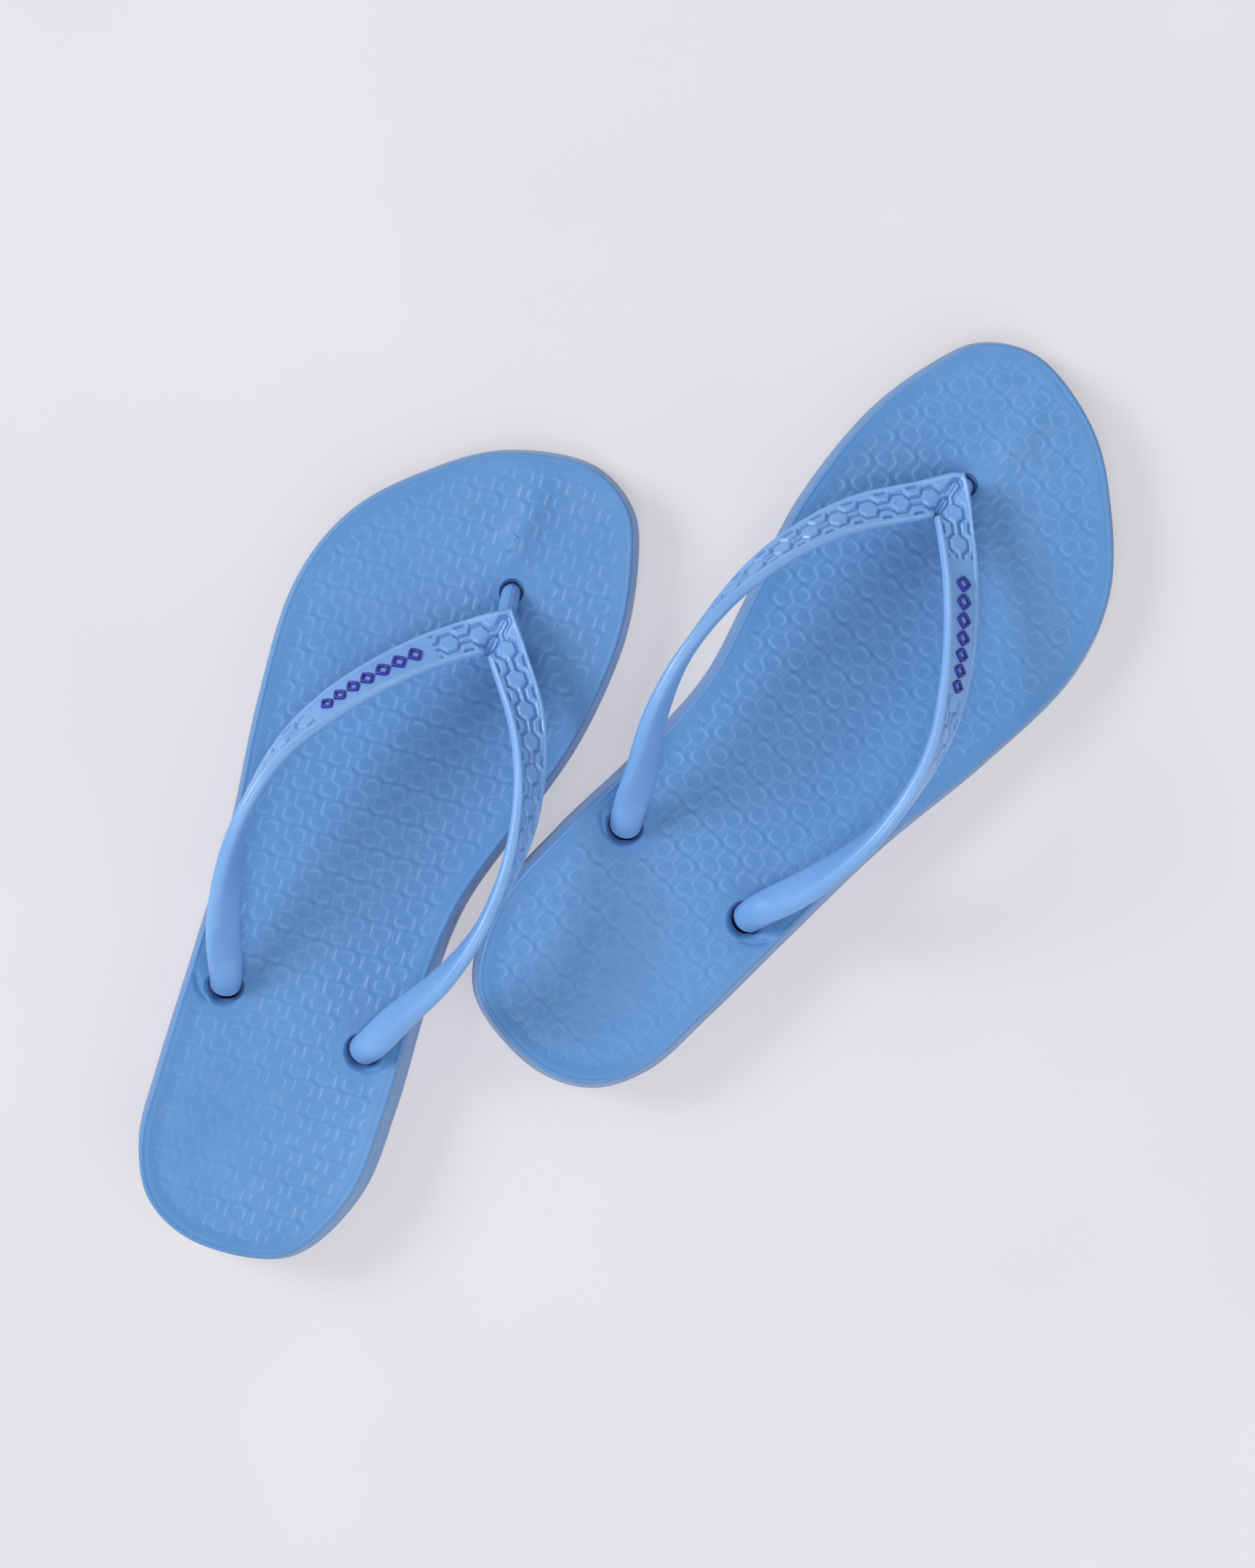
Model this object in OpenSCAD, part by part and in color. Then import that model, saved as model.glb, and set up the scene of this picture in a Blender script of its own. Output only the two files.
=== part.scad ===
// A pair of moulded thong sandals, laid side by side with the left one a little behind the right.
// Each sandal is a one-piece sole, a one-piece Y strap whose three plugs lock into the sole,
// and a row of dark diamond links set on the outer arm of the strap.
// The left sandal is drawn in its own frame, heel at y = 0 and toes towards +Y, with the outer
// (little-toe) side at -X. The right sandal is its mirror image.

/* [Sole] */
// Length of the sole from heel to toe
sole_l = 250; // [225:5:285]
// Width across the ball of the foot
ball_w = 95; // [86:1:108]
// Thickness under the heel
heel_t = 21; // [17:0.5:26]
// Thickness under the toes
toe_t = 14; // [12:0.5:18]
// Height that the tip of the toe curls up from the ground
toe_spring = 3; // [0:0.5:6]
// Angle that the side wall flares outwards, from the footbed's rim down to the ground
wall_draft = 7; // [0:0.5:9]
// Depth of the heel cup below its rim
cup_depth = 2; // [0:0.2:3]
// Width of each tread groove under the sole
groove_w = 2; // [1:0.5:3]
// Depth of the tread grooves
groove_d = 1.2; // [0.5:0.1:2]

/* [Strap] */
// Width of the ribbon at the V
v_ribbon_w = 11; // [9:0.2:13]
// Width of the ribbon where its arms are widest
ribbon_w = 12.2; // [10:0.2:14]
// Thickness of the ribbon
ribbon_t = 3.6; // [3:0.2:5]
// Width of the thick finger where an arm enters the sole
finger_w = 10.4; // [9:0.2:12]
// Thickness of that finger
finger_t = 5.8; // [5:0.2:7]
// Height of the arms' highest point above the ground
arm_height = 45; // [35:1:60]
// Diameter of the toe post
post_d = 6.4; // [5:0.2:7]
// Diameter of the hole that the toe post passes through
post_hole_d = 7.8; // [7.2:0.2:9]
// Diameter of the three plugs under the sole
plug_d = 17; // [15:0.5:20]
// Thickness of the plugs
plug_t = 3; // [2:0.5:4]

/* [Trim] */
// Number of diamond links on the outer arm
link_n = 7; // [3:1:8]
// Height of the links above the ribbon's rims
link_h = 0.5; // [0.2:0.1:1]
// Width of the line that each link is drawn with
link_line = 0.9; // [0.6:0.1:1.2]

/* [Pair] */
// Angle that each sandal turns its toes outward
toe_out = 5.4; // [0:0.2:10]
// Distance between the two sandals' centres, side to side
pair_across = 99.8; // [99:0.2:130]
// Distance that the left sandal lies behind the right one
pair_along = 92.7; // [0:0.1:120]
// Distance that the left strap's V has settled back from its post hole
left_settle = 6.2; // [0:0.2:7]

/* [Hidden] */

sole_blue = "#6A99D2";
strap_blue = "#7FA8E2";
trim_navy = "#2A35A0";

// Outline of the left sole at the ground, as fractions of the ball width and of the length.
// It runs from the back of the heel up the outer side to the toe tip, and down the inner side.
OUTLINE = [
    [0.135, 0.000],
    [-0.068, 0.019], [-0.186, 0.078], [-0.234, 0.166], [-0.286, 0.296], [-0.348, 0.440],
    [-0.443, 0.588], [-0.500, 0.726], [-0.438, 0.834], [-0.255, 0.924], [-0.080, 0.975],
    [0.150, 1.000],
    [0.322, 0.976], [0.412, 0.921], [0.481, 0.828], [0.490, 0.706], [0.441, 0.588],
    [0.396, 0.476], [0.424, 0.360], [0.478, 0.238], [0.496, 0.128], [0.388, 0.032],
];
outline_steps = 5;
ring_n = len(OUTLINE) * outline_steps;

// Ends of the spine line that the footbed's rings close on
spine_heel = [0.14 * ball_w, 0.10 * sole_l];
spine_toe = [0.05 * ball_w, 0.88 * sole_l];

// Where the footbed starts and ends its slope from the heel down to the toes
slope_heel_y = 0.20 * sole_l;
slope_toe_y = 0.74 * sole_l;
// Where the sole starts to curl up towards the toe tip
spring_y = 0.78 * sole_l;

// Centres of the toe-post hole and of the two rear slots in the left sole
POST_AT = [0.11 * ball_w, 0.834 * sole_l];
OUTER_SLOT_AT = [-0.142 * ball_w, 0.286 * sole_l];
INNER_SLOT_AT = [0.316 * ball_w, 0.288 * sole_l];
// Direction of each slot's long side, turned anticlockwise from +X
outer_slot_turn = 26;
inner_slot_turn = -20;
slot_gap = 0.6;
// Height of the plugs' lower faces above the ground, and the gap round them
plug_z = 1.2;
plug_gap = 0.3;
recess_z = plug_z + plug_t;
// Radius of the bend between the toe post's upright foot and its leaning stem
post_bend_r = 5;
post_sides = 24;

// Centre of the V, and the vector from its inner corner to its tip
V_AT = [0.135 * ball_w, 0.804 * sole_l];
v_height = 24;
MITRE = [0.04, 1, 0];
// Length along an arm over which the mitred end turns square to the arm
mitre_run = 9;
// Length along an arm over which the ribbon widens from the V
widen_run = 30;
// Share of a square end's sine at which the mitre's point is blunted
mitre_blunt = 0.74;

// Stations of the left strap's two arms from the V to the sole: x and y as fractions of ball
// width and sole length, height above the V as a fraction of the arms' rise, how far the outer
// face rolls outwards in degrees, and how far the ribbon has turned into the finger
OUTER_ARM = [
    [0.135, 0.804, 0.00, 0, 0.00],
    [0.070, 0.778, 0.16, 21, 0.00],
    [-0.039, 0.731, 0.38, 36, 0.00],
    [-0.144, 0.673, 0.62, 44, 0.00],
    [-0.219, 0.618, 0.82, 54, 0.05],
    [-0.271, 0.562, 0.96, 70, 0.15],
    [-0.292, 0.500, 1.00, 84, 0.35],
    [-0.279, 0.430, 0.86, 102, 0.65],
    [-0.222, 0.358, 0.46, 134, 0.90],
    [-0.158, 0.306, 0.05, 160, 1.00],
    [-0.142, 0.287, -0.32, 180, 1.00],
];
INNER_ARM = [
    [0.135, 0.804, 0.00, 0, 0.00],
    [0.193, 0.777, 0.16, 15, 0.00],
    [0.315, 0.722, 0.38, 34, 0.00],
    [0.398, 0.664, 0.62, 51, 0.00],
    [0.451, 0.602, 0.82, 65, 0.05],
    [0.475, 0.536, 0.96, 82, 0.15],
    [0.474, 0.470, 1.00, 94, 0.35],
    [0.437, 0.404, 0.86, 113, 0.65],
    [0.372, 0.344, 0.46, 134, 0.90],
    [0.334, 0.304, 0.05, 160, 1.00],
    [0.315, 0.288, -0.32, 180, 1.00],
];
arm_steps = 3;
arm_rings = (len(OUTER_ARM) - 1) * arm_steps;

// Cross-section of the ribbon, as fractions of its width and thickness: two raised rims and a
// middle rib on the outer face, and a smooth round face towards the foot
RIBBON = [
    [0.50, 0.05], [0.485, 0.33], [0.43, 0.50], [0.36, 0.50], [0.32, 0.28], [0.13, 0.28],
    [0.09, 0.42], [-0.09, 0.42], [-0.13, 0.28], [-0.32, 0.28], [-0.36, 0.50], [-0.43, 0.50],
    [-0.485, 0.33], [-0.50, 0.05], [-0.45, -0.28], [-0.27, -0.46], [0, -0.50], [0.27, -0.46],
    [0.45, -0.28],
];
section_n = len(RIBBON);
// The finger's section is a rounded oblong, drawn as a superellipse with as many points
finger_power = 0.72;

// Small helpers

function unit(v) = v / norm(v);

function mix(a, b, t) = a + (b - a) * t;

function smooth(t) =
    let(c = max(0, min(1, t)))
    c * c * (3 - 2 * c);

function signed_power(v, p) = sign(v) * pow(abs(v), p);

// A smooth curve through four points, from b at t = 0 to c at t = 1
function curve(a, b, c, d, t) =
    b + (c - a) * (t / 2)
      + (2 * a - 5 * b + 4 * c - d) * (t * t / 2)
      + (3 * b - a - 3 * c + d) * (t * t * t / 2);

// Faces between rings of n points each
function wall_faces(rings, n) = [
    for (r = [0 : rings - 2], i = [0 : n - 1])
        let(j = (i + 1) % n, a = r * n, b = (r + 1) * n)
            each [[a + i, b + j, a + j], [a + i, b + i, b + j]]
];

// The same wall, closed by a flat face at each end
function tube_faces(rings, n) = concat(
    wall_faces(rings, n),
    [[for (k = [0 : n - 1]) k]],
    [[for (k = [n - 1 : -1 : 0]) (rings - 1) * n + k]]
);

// Strips across a ring that close it, from each point to its partner on the other side
function strip_faces(start, n, flip) = [
    for (i = [0 : n / 2 - 1])
        let(a = start + i, b = start + i + 1, c = start + n - i - 1, d = start + n - i)
            each [
                if (i < n / 2 - 1) flip ? [a, b, c] : [a, c, b],
                if (i > 0) flip ? [a, c, d] : [a, d, c],
            ]
];

// Sole

function outline_at(i) =
    let(
        n = len(OUTLINE),
        k = floor(i / outline_steps),
        t = i / outline_steps - k,
        p = curve(OUTLINE[(k + n - 1) % n], OUTLINE[k % n], OUTLINE[(k + 1) % n],
                  OUTLINE[(k + 2) % n], t)
    )
    [p[0] * ball_w, p[1] * sole_l];

EDGE = [for (i = [0 : ring_n - 1]) outline_at(i)];

// Outward normals of the outline, which runs clockwise seen from above
OUTWARD = [
    for (i = [0 : ring_n - 1])
        let(d = EDGE[(i + 1) % ring_n] - EDGE[(i + ring_n - 1) % ring_n])
            unit([-d[1], d[0]])
];

function spine_point(i) =
    let(u = i <= ring_n / 2 ? i / (ring_n / 2) : (ring_n - i) / (ring_n / 2))
    mix(spine_heel, spine_toe, smooth(u * 0.96 + 0.02));

// Height of the ground face, which curls up towards the toe
function ground_z(y) = toe_spring * pow(max(0, (y - spring_y) / (sole_l - spring_y)), 2);

// Height of the footbed's rim
function rim_z(y) =
    mix(heel_t, toe_t, smooth((y - slope_heel_y) / (slope_toe_y - slope_heel_y))) + ground_z(y);

// The footbed sinks below its rim, most of all in the heel cup
function sink_at(y) = cup_depth * mix(1, 0.35, smooth((y - 0.1 * sole_l) / (0.5 * sole_l)));

// One ring of the sole, at a fraction of the wall's height: in from the drafted wall by inset,
// then towards the spine by part, and sunk below the rim by a fraction of the footbed's depth
function sole_ring(wall, inset, part, sink) = [
    for (i = [0 : ring_n - 1])
        let(
            draft = wall * rim_z(EDGE[i][1]) * tan(wall_draft),
            e = EDGE[i] - OUTWARD[i] * (draft + inset),
            p = mix(e, spine_point(i), part),
            low = ground_z(p[1]),
            high = rim_z(p[1]) - sink * sink_at(p[1])
        )
            [p[0], p[1], mix(low, high, wall)]
];

// Radius of the rim's rounded edge, and width of the lip that slopes from it to the footbed
edge_r = 1.4;
lip_w = 6;

module sole_body() {
    rings = [
        sole_ring(0, edge_r, 0.8, 0),
        sole_ring(0, 0.8, 0, 0),
        sole_ring(0.04, 0.2, 0, 0),
        sole_ring(0.10, 0, 0, 0),
        sole_ring(0.50, 0, 0, 0),
        sole_ring(0.90, 0, 0, 0),
        sole_ring(0.97, 0.3 * edge_r, 0, 0),
        sole_ring(1, edge_r, 0, 0),
        sole_ring(1, edge_r + 0.25 * lip_w, 0, 0.12),
        sole_ring(1, edge_r + 0.55 * lip_w, 0, 0.55),
        sole_ring(1, edge_r + lip_w, 0, 0.80),
        sole_ring(1, edge_r + lip_w, 0.4, 0.97),
        sole_ring(1, edge_r + lip_w, 0.8, 1),
    ];
    polyhedron(
        points = [for (r = rings) each r],
        faces = concat(
            wall_faces(len(rings), ring_n),
            strip_faces(0, ring_n, true),
            strip_faces((len(rings) - 1) * ring_n, ring_n, false)
        ),
        convexity = 6
    );
}

// An oblong with round ends, its long side along X
module oblong(long, short) {
    square([long - short, short], center = true);
    for (s = [-1, 1])
        translate([s * (long - short) / 2, 0])
            circle(d = short, $fn = 48);
}

module rear_slot(at, turn) {
    translate([at[0], at[1], recess_z - 0.5])
        rotate([0, 0, turn])
            linear_extrude(heel_t + 5)
                oblong(finger_w + 2 * slot_gap, finger_t + 3 * slot_gap);
}

module plug_recess(at) {
    translate([at[0], at[1], -1])
        cylinder(d = plug_d + 2 * plug_gap, h = recess_z + 1, $fn = 64);
}

// Curved grooves across the sole, in a heel patch and a forefoot patch that miss the plugs
tread_r = 60;
tread_pitch = 0.029 * sole_l;

module tread_arc(x, y, half_angle) {
    translate([x, y - tread_r, -1])
        rotate_extrude(angle = half_angle * 2, start = 90 - half_angle, $fn = 120)
            translate([tread_r, 0])
                square([groove_w, groove_d + 1]);
}

module tread() {
    for (k = [0 : 6])
        tread_arc(0.14 * ball_w, 0.062 * sole_l + k * tread_pitch, 21);
    for (k = [0 : 10])
        tread_arc(mix(0.02, -0.03, k / 10) * ball_w, 0.44 * sole_l + k * tread_pitch, 20 + 0.9 * k);
}

module left_sole_shape() {
    color(sole_blue)
        difference() {
            sole_body();
            translate([POST_AT[0], POST_AT[1], -1])
                cylinder(d = post_hole_d, h = toe_t + 10, $fn = 64);
            rear_slot(OUTER_SLOT_AT, outer_slot_turn);
            rear_slot(INNER_SLOT_AT, inner_slot_turn);
            for (at = [POST_AT, OUTER_SLOT_AT, INNER_SLOT_AT])
                plug_recess(at);
            tread();
        }
}

// Strap

// One interpolated station of an arm
function station(arm, i) =
    let(
        last = len(arm) - 1,
        k = min(floor(i / arm_steps), last - 1),
        t = i / arm_steps - k,
        a = k > 0 ? arm[k - 1] : 2 * arm[0] - arm[1],
        d = k + 2 <= last ? arm[k + 2] : 2 * arm[last] - arm[last - 1]
    )
    curve(a, arm[k], arm[k + 1], d, t);

// Centre of the ribbon at a station, after the strap has settled back
function arm_centre(arm, i, settle) =
    let(s = station(arm, i), u = i / arm_rings)
    [
        s[0] * ball_w,
        s[1] * sole_l - settle * (1 - u) * (1 - u),
        v_height + s[2] * (arm_height - v_height)
    ];

// Frame of the ribbon at a station: its centre, the direction across it towards its outer edge,
// the normal of its outer face, its width, its thickness and how far it is a finger.
// side is 1 on the outer arm and -1 on the inner one.
function arm_frame(arm, i, side, settle) =
    let(
        s = station(arm, i),
        nudge = 0.05,
        c = arm_centre(arm, i, settle),
        ahead = arm_centre(arm, min(i + nudge, arm_rings), settle),
        behind = arm_centre(arm, max(i - nudge, 0), settle),
        along = unit(ahead - behind),
        level = unit([along[1], -along[0], 0]) * side,
        up = unit(cross(level, along)) * side,
        square_on = level * cos(s[3]) - up * sin(s[3]),
        square_face = level * sin(s[3]) + up * cos(s[3]),
        from_v = norm(c - arm_centre(arm, 0, settle)),
        turn = smooth(from_v / mitre_run),
        across = unit(mix(unit(MITRE), square_on, turn)),
        face = mix([0, 0, 1], square_face, turn),
        beside = mix(v_ribbon_w, ribbon_w, smooth(from_v / widen_run)),
        w = mix(beside, finger_w, s[4]) / max(across * square_on, mitre_blunt),
        t = mix(ribbon_t, finger_t, s[4])
    )
    [c, across, unit(face - across * (face * across)), w, t, s[4]];

function section_point(k, finger) =
    let(
        p = RIBBON[k],
        ang = 360 * (k + 0.4) / section_n,
        q = [signed_power(cos(ang), finger_power), signed_power(sin(ang), finger_power)] / 2
    )
    mix(p, q, smooth(finger * 1.6));

function arm_ring(f) = [
    for (k = [0 : section_n - 1])
        let(p = section_point(k, f[5]))
            f[0] + f[1] * (p[0] * f[3]) + f[2] * (p[1] * f[4])
];

// An arm's end inside the sole: upright, with the finger's section, from the slot to the plug
function shank_ring(at, turn, side) =
    let(across = [cos(turn), sin(turn), 0] * side, face = [-sin(turn), cos(turn), 0])
    arm_ring([[at[0], at[1], plug_z + plug_t / 2], across, face, finger_w, finger_t, 1]);

// Both arms are one ribbon, from the outer plug up over the V and down to the inner plug
module ribbon(settle) {
    rings = concat(
        [shank_ring(OUTER_SLOT_AT, outer_slot_turn, 1)],
        [for (i = [arm_rings : -1 : 1]) arm_ring(arm_frame(OUTER_ARM, i, 1, settle))],
        [for (i = [0 : arm_rings]) arm_ring(arm_frame(INNER_ARM, i, -1, settle))],
        [shank_ring(INNER_SLOT_AT, inner_slot_turn, -1)]
    );
    polyhedron(
        points = [for (r = rings) each r],
        faces = tube_faces(len(rings), section_n),
        convexity = 8
    );
}

module plug(at) {
    translate([at[0], at[1], plug_z])
        cylinder(d = plug_d, h = plug_t, $fn = 64);
}

// A round ring of the toe post, square to a direction tilted by lean towards heading
function post_ring(centre, heading, lean) =
    let(
        aside = [-heading[1], heading[0], 0],
        ahead = heading * cos(lean) - [0, 0, sin(lean)]
    )
    [
        for (k = [0 : post_sides - 1])
            let(a = 360 * k / post_sides)
                centre + (ahead * cos(a) + aside * sin(a)) * (post_d / 2)
    ];

// The toe post stands upright in its hole, bends back just below the footbed and runs straight
// up into the ribbon behind the tip of the V
module toe_post(settle) {
    foot = [POST_AT[0], POST_AT[1], rim_z(POST_AT[1]) - post_bend_r * 0.6];
    tip = [V_AT[0], V_AT[1] - settle, v_height - 1] + MITRE * 3;
    away = [tip[0] - foot[0], tip[1] - foot[1], 0];
    heading = unit(away);
    beyond = norm(away) - post_bend_r;
    rise = tip[2] - foot[2];
    reach = sqrt(beyond * beyond + rise * rise - post_bend_r * post_bend_r);
    bend = atan2(beyond, rise) + atan2(post_bend_r, reach);
    rings = concat(
        [post_ring([foot[0], foot[1], plug_z + plug_t / 2], heading, 0)],
        [for (a = [0 : bend / 5 : bend + 0.01])
            post_ring(foot + (heading * (1 - cos(a)) + [0, 0, sin(a)]) * post_bend_r, heading, a)],
        [post_ring(tip, heading, bend)]
    );
    polyhedron(
        points = [for (r = rings) each r],
        faces = tube_faces(len(rings), post_sides),
        convexity = 4
    );
}

module left_strap_shape(settle) {
    color(strap_blue) {
        ribbon(settle);
        toe_post(settle);
        for (at = [POST_AT, OUTER_SLOT_AT, INNER_SLOT_AT])
            plug(at);
    }
}

// Trim

link_from = 0.195;
link_to = 0.395;
link_gap = 0.4;
link_share = 0.42;

module diamond(long, wide) {
    polygon([[-long / 2, 0], [0, -wide / 2], [long / 2, 0], [0, wide / 2]]);
}

// One diamond link, lying on the ribbon with its long side along the arm
module link(long, wide) {
    linear_extrude(ribbon_t * 0.25 + link_h)
        difference() {
            diamond(long, wide);
            diamond(long - 2.6 * link_line, wide - 2.6 * link_line);
        }
}

module left_trim_shape(settle) {
    run = (link_to - link_from) * arm_rings;
    color(trim_navy)
        for (k = [0 : link_n - 1]) {
            i = link_from * arm_rings + run * (k + 0.5) / link_n;
            f = arm_frame(OUTER_ARM, i, 1, settle);
            g = arm_frame(OUTER_ARM, i + 0.5 * run / link_n, 1, settle);
            b = arm_frame(OUTER_ARM, i - 0.5 * run / link_n, 1, settle);
            y = f[1];
            z = f[2];
            x = cross(y, z);
            o = f[0] + z * (0.25 * ribbon_t);
            multmatrix([[x[0], y[0], z[0], o[0]], [x[1], y[1], z[1], o[1]], [x[2], y[2], z[2], o[2]]])
                link(norm(g[0] - b[0]) - link_gap, link_share * ribbon_w);
        }
}

// The pair

// Middle of a turned sole's length, so that the pair's box is centred on the origin
turned_mid = 0.5044 * sole_l;

module place_left() {
    translate([-pair_across / 2, -pair_along / 2, 0])
        rotate([0, 0, toe_out])
            translate([0, -turned_mid, 0])
                children();
}

module place_right() {
    translate([pair_across / 2, pair_along / 2, 0])
        rotate([0, 0, -toe_out])
            translate([0, -turned_mid, 0])
                mirror([1, 0, 0])
                    children();
}

module left_sole() { place_left() left_sole_shape(); }
module left_strap() { place_left() left_strap_shape(left_settle); }
module left_strap_trim() { place_left() left_trim_shape(left_settle); }
module right_sole() { place_right() left_sole_shape(); }
module right_strap() { place_right() left_strap_shape(0); }
module right_strap_trim() { place_right() left_trim_shape(0); }

left_sole();
left_strap();
left_strap_trim();
right_sole();
right_strap();
right_strap_trim();
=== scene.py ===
import math

import bpy
import numpy as np
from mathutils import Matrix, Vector


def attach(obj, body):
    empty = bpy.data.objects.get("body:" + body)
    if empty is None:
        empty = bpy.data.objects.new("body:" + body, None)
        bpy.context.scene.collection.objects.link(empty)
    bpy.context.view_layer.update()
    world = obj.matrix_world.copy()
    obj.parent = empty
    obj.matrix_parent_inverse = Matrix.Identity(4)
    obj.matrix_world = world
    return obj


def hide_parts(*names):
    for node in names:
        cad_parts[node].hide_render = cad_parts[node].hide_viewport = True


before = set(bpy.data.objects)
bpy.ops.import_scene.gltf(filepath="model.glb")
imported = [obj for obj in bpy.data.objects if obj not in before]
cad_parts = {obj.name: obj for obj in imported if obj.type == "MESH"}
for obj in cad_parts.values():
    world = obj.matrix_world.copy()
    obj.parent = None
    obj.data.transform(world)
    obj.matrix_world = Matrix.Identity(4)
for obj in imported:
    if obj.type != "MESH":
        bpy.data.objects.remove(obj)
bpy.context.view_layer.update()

# Sizes in millimetres, the same as the CAD model's. Every shape is made in the left sandal's own
# frame, heel at y = 0, toes towards +Y and little toe at -X, and then placed in the row frame.
MM = 0.001
SOLE_L, BALL_W = 250.0, 95.0
HEEL_T, TOE_T, TOE_SPRING = 21.0, 14.0, 3.0
WALL_DRAFT = math.tan(math.radians(7))
CUP_DEPTH, LIP_W = 2.0, 6.0
V_RIBBON_W, RIBBON_W, RIBBON_T = 11.0, 12.2, 3.6
FINGER_W, FINGER_T, FINGER_POWER = 10.4, 5.8, 0.72
ARM_HEIGHT, V_HEIGHT = 45.0, 24.0
POST_D, POST_BEND_R = 6.4, 5.0
PLUG_D, PLUG_T, PLUG_Z, PLUG_GAP = 17.0, 3.0, 1.2, 0.3
RECESS_Z = PLUG_Z + PLUG_T
LINK_N, LINK_H, LINK_LINE, LINK_GAP = 7, 0.5, 0.9, 0.4
LINK_FROM, LINK_TO, LINK_SHARE = 0.195, 0.395, 0.42
GROOVE_W, GROOVE_D, TREAD_R, TREAD_PITCH = 2.0, 1.2, 60.0, 0.029 * SOLE_L

# How the pair lies: each sandal turned toe out about its middle, and the left strap settled back
TOE_OUT = math.radians(5.4)
TURNED_MID = 0.5044 * SOLE_L
PAIR_ACROSS, PAIR_ALONG = 99.8, 92.7
SETTLE = {"left": 6.2, "right": 0.0}

# Forms that only the scene has: the finger's end bulges towards the heel and narrows, the post is
# thinner above its root, and its hole slants towards the heel
TIP_BULGE, TIP_TAPER = 1.5, 0.86
POST_WAIST, POST_SLANT = 5.3, 2.2

# The sole's outline through the heel, the little toe's side, the toes and the big toe's side, as
# shares of the ball's width and the sole's length
OUTLINE = np.array([
    [0.135, 0.000],
    [-0.068, 0.019], [-0.186, 0.078], [-0.234, 0.166], [-0.286, 0.296], [-0.348, 0.440],
    [-0.443, 0.588], [-0.500, 0.726], [-0.438, 0.834], [-0.255, 0.924], [-0.080, 0.975],
    [0.150, 1.000],
    [0.322, 0.976], [0.412, 0.921], [0.481, 0.828], [0.490, 0.706], [0.441, 0.588],
    [0.396, 0.476], [0.424, 0.360], [0.478, 0.238], [0.496, 0.128], [0.388, 0.032],
]) * [BALL_W, SOLE_L]
# Ends of the line that the footbed's rings close in on
SPINE_HEEL = np.array([0.14 * BALL_W, 0.10 * SOLE_L])
SPINE_TOE = np.array([0.05 * BALL_W, 0.88 * SOLE_L])
# The holes' places, and how the slots are turned
POST_AT = np.array([0.11 * BALL_W, 0.834 * SOLE_L])
OUTER_SLOT_AT = np.array([-0.142 * BALL_W, 0.286 * SOLE_L])
INNER_SLOT_AT = np.array([0.316 * BALL_W, 0.288 * SOLE_L])
OUTER_SLOT_TURN, INNER_SLOT_TURN = math.radians(26), math.radians(-20)
# The V's place, the direction of its mitre line, and how far from it the arms' rings lie square
# and the ribbon has its full width
V_AT = np.array([0.135 * BALL_W, 0.804 * SOLE_L])
MITRE = np.array([0.04, 1.0, 0.0])
MITRE_RUN, WIDEN_RUN = 9.0, 30.0
# How slender the V's tip may get, as the least cosine between the mitre line and a square cut
MITRE_BLUNT = {"left": 0.60, "right": 0.74}

# Stations of the strap's arms from the V to the sole: x and y as shares of the ball width and
# sole length, height as a share of the arms' rise, roll in degrees, and share of finger.
OUTER_ARM = np.array([
    [0.135, 0.804, 0.00, 0, 0.00],
    [0.070, 0.778, 0.16, 21, 0.00],
    [-0.039, 0.731, 0.38, 36, 0.00],
    [-0.144, 0.673, 0.62, 44, 0.00],
    [-0.219, 0.618, 0.82, 54, 0.05],
    [-0.271, 0.562, 0.96, 70, 0.15],
    [-0.292, 0.500, 1.00, 84, 0.35],
    [-0.279, 0.430, 0.86, 102, 0.65],
    [-0.222, 0.358, 0.46, 134, 0.90],
    [-0.158, 0.306, 0.05, 160, 1.00],
    [-0.142, 0.287, -0.32, 180, 1.00],
])
INNER_ARM = np.array([
    [0.135, 0.804, 0.00, 0, 0.00],
    [0.193, 0.777, 0.16, 15, 0.00],
    [0.315, 0.722, 0.38, 34, 0.00],
    [0.398, 0.664, 0.62, 51, 0.00],
    [0.451, 0.602, 0.82, 65, 0.05],
    [0.475, 0.536, 0.96, 82, 0.15],
    [0.474, 0.470, 1.00, 94, 0.35],
    [0.437, 0.404, 0.86, 113, 0.65],
    [0.372, 0.344, 0.46, 134, 0.90],
    [0.334, 0.304, 0.05, 160, 1.00],
    [0.315, 0.288, -0.32, 180, 1.00],
])


# ---- Small helpers

# Faces that meet at more than SHARP keep a sharp edge, and holes and plugs have ROUND_N points
SHARP = math.radians(48)
ROUND_N = 72


def smooth(t):
    """An eased step from 0 at t = 0 to 1 at t = 1."""
    c = np.clip(t, 0, 1)
    return c * c * (3 - 2 * c)


def mix(a, b, t):
    """a at t = 0 and b at t = 1."""
    return a + (b - a) * t


def step(distance, width):
    """0 to 1 across an edge: one half where distance is 0, with a slope about width wide."""
    return 0.5 + 0.5 * np.tanh(2 * distance / width)


def unit(v):
    """Vectors of length 1 in the directions of v."""
    return v / np.linalg.norm(v, axis=-1, keepdims=True)


def curve(a, b, c, d, t):
    """A Catmull-Rom curve from b at t = 0 to c at t = 1."""
    return (b + (c - a) * (t / 2) + (2 * a - 5 * b + 4 * c - d) * (t * t / 2)
            + (3 * b - a - 3 * c + d) * (t ** 3 / 2))


def spots(x, y, rows):
    """The sum of soft spots, each an amount, a centre, and its radii across and along."""
    total = 0
    for amount, at, across, along in rows:
        total = total + amount * np.exp(-((x - at[0]) / across) ** 2 - ((y - at[1]) / along) ** 2)
    return total


def angles(n):
    """n equal steps round a circle, in radians."""
    return np.arange(n) * 2 * math.pi / n


def circle(at, radius):
    """ROUND_N points round a circle."""
    a = angles(ROUND_N)
    return np.c_[at[0] + radius * np.cos(a), at[1] + radius * np.sin(a)]


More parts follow.
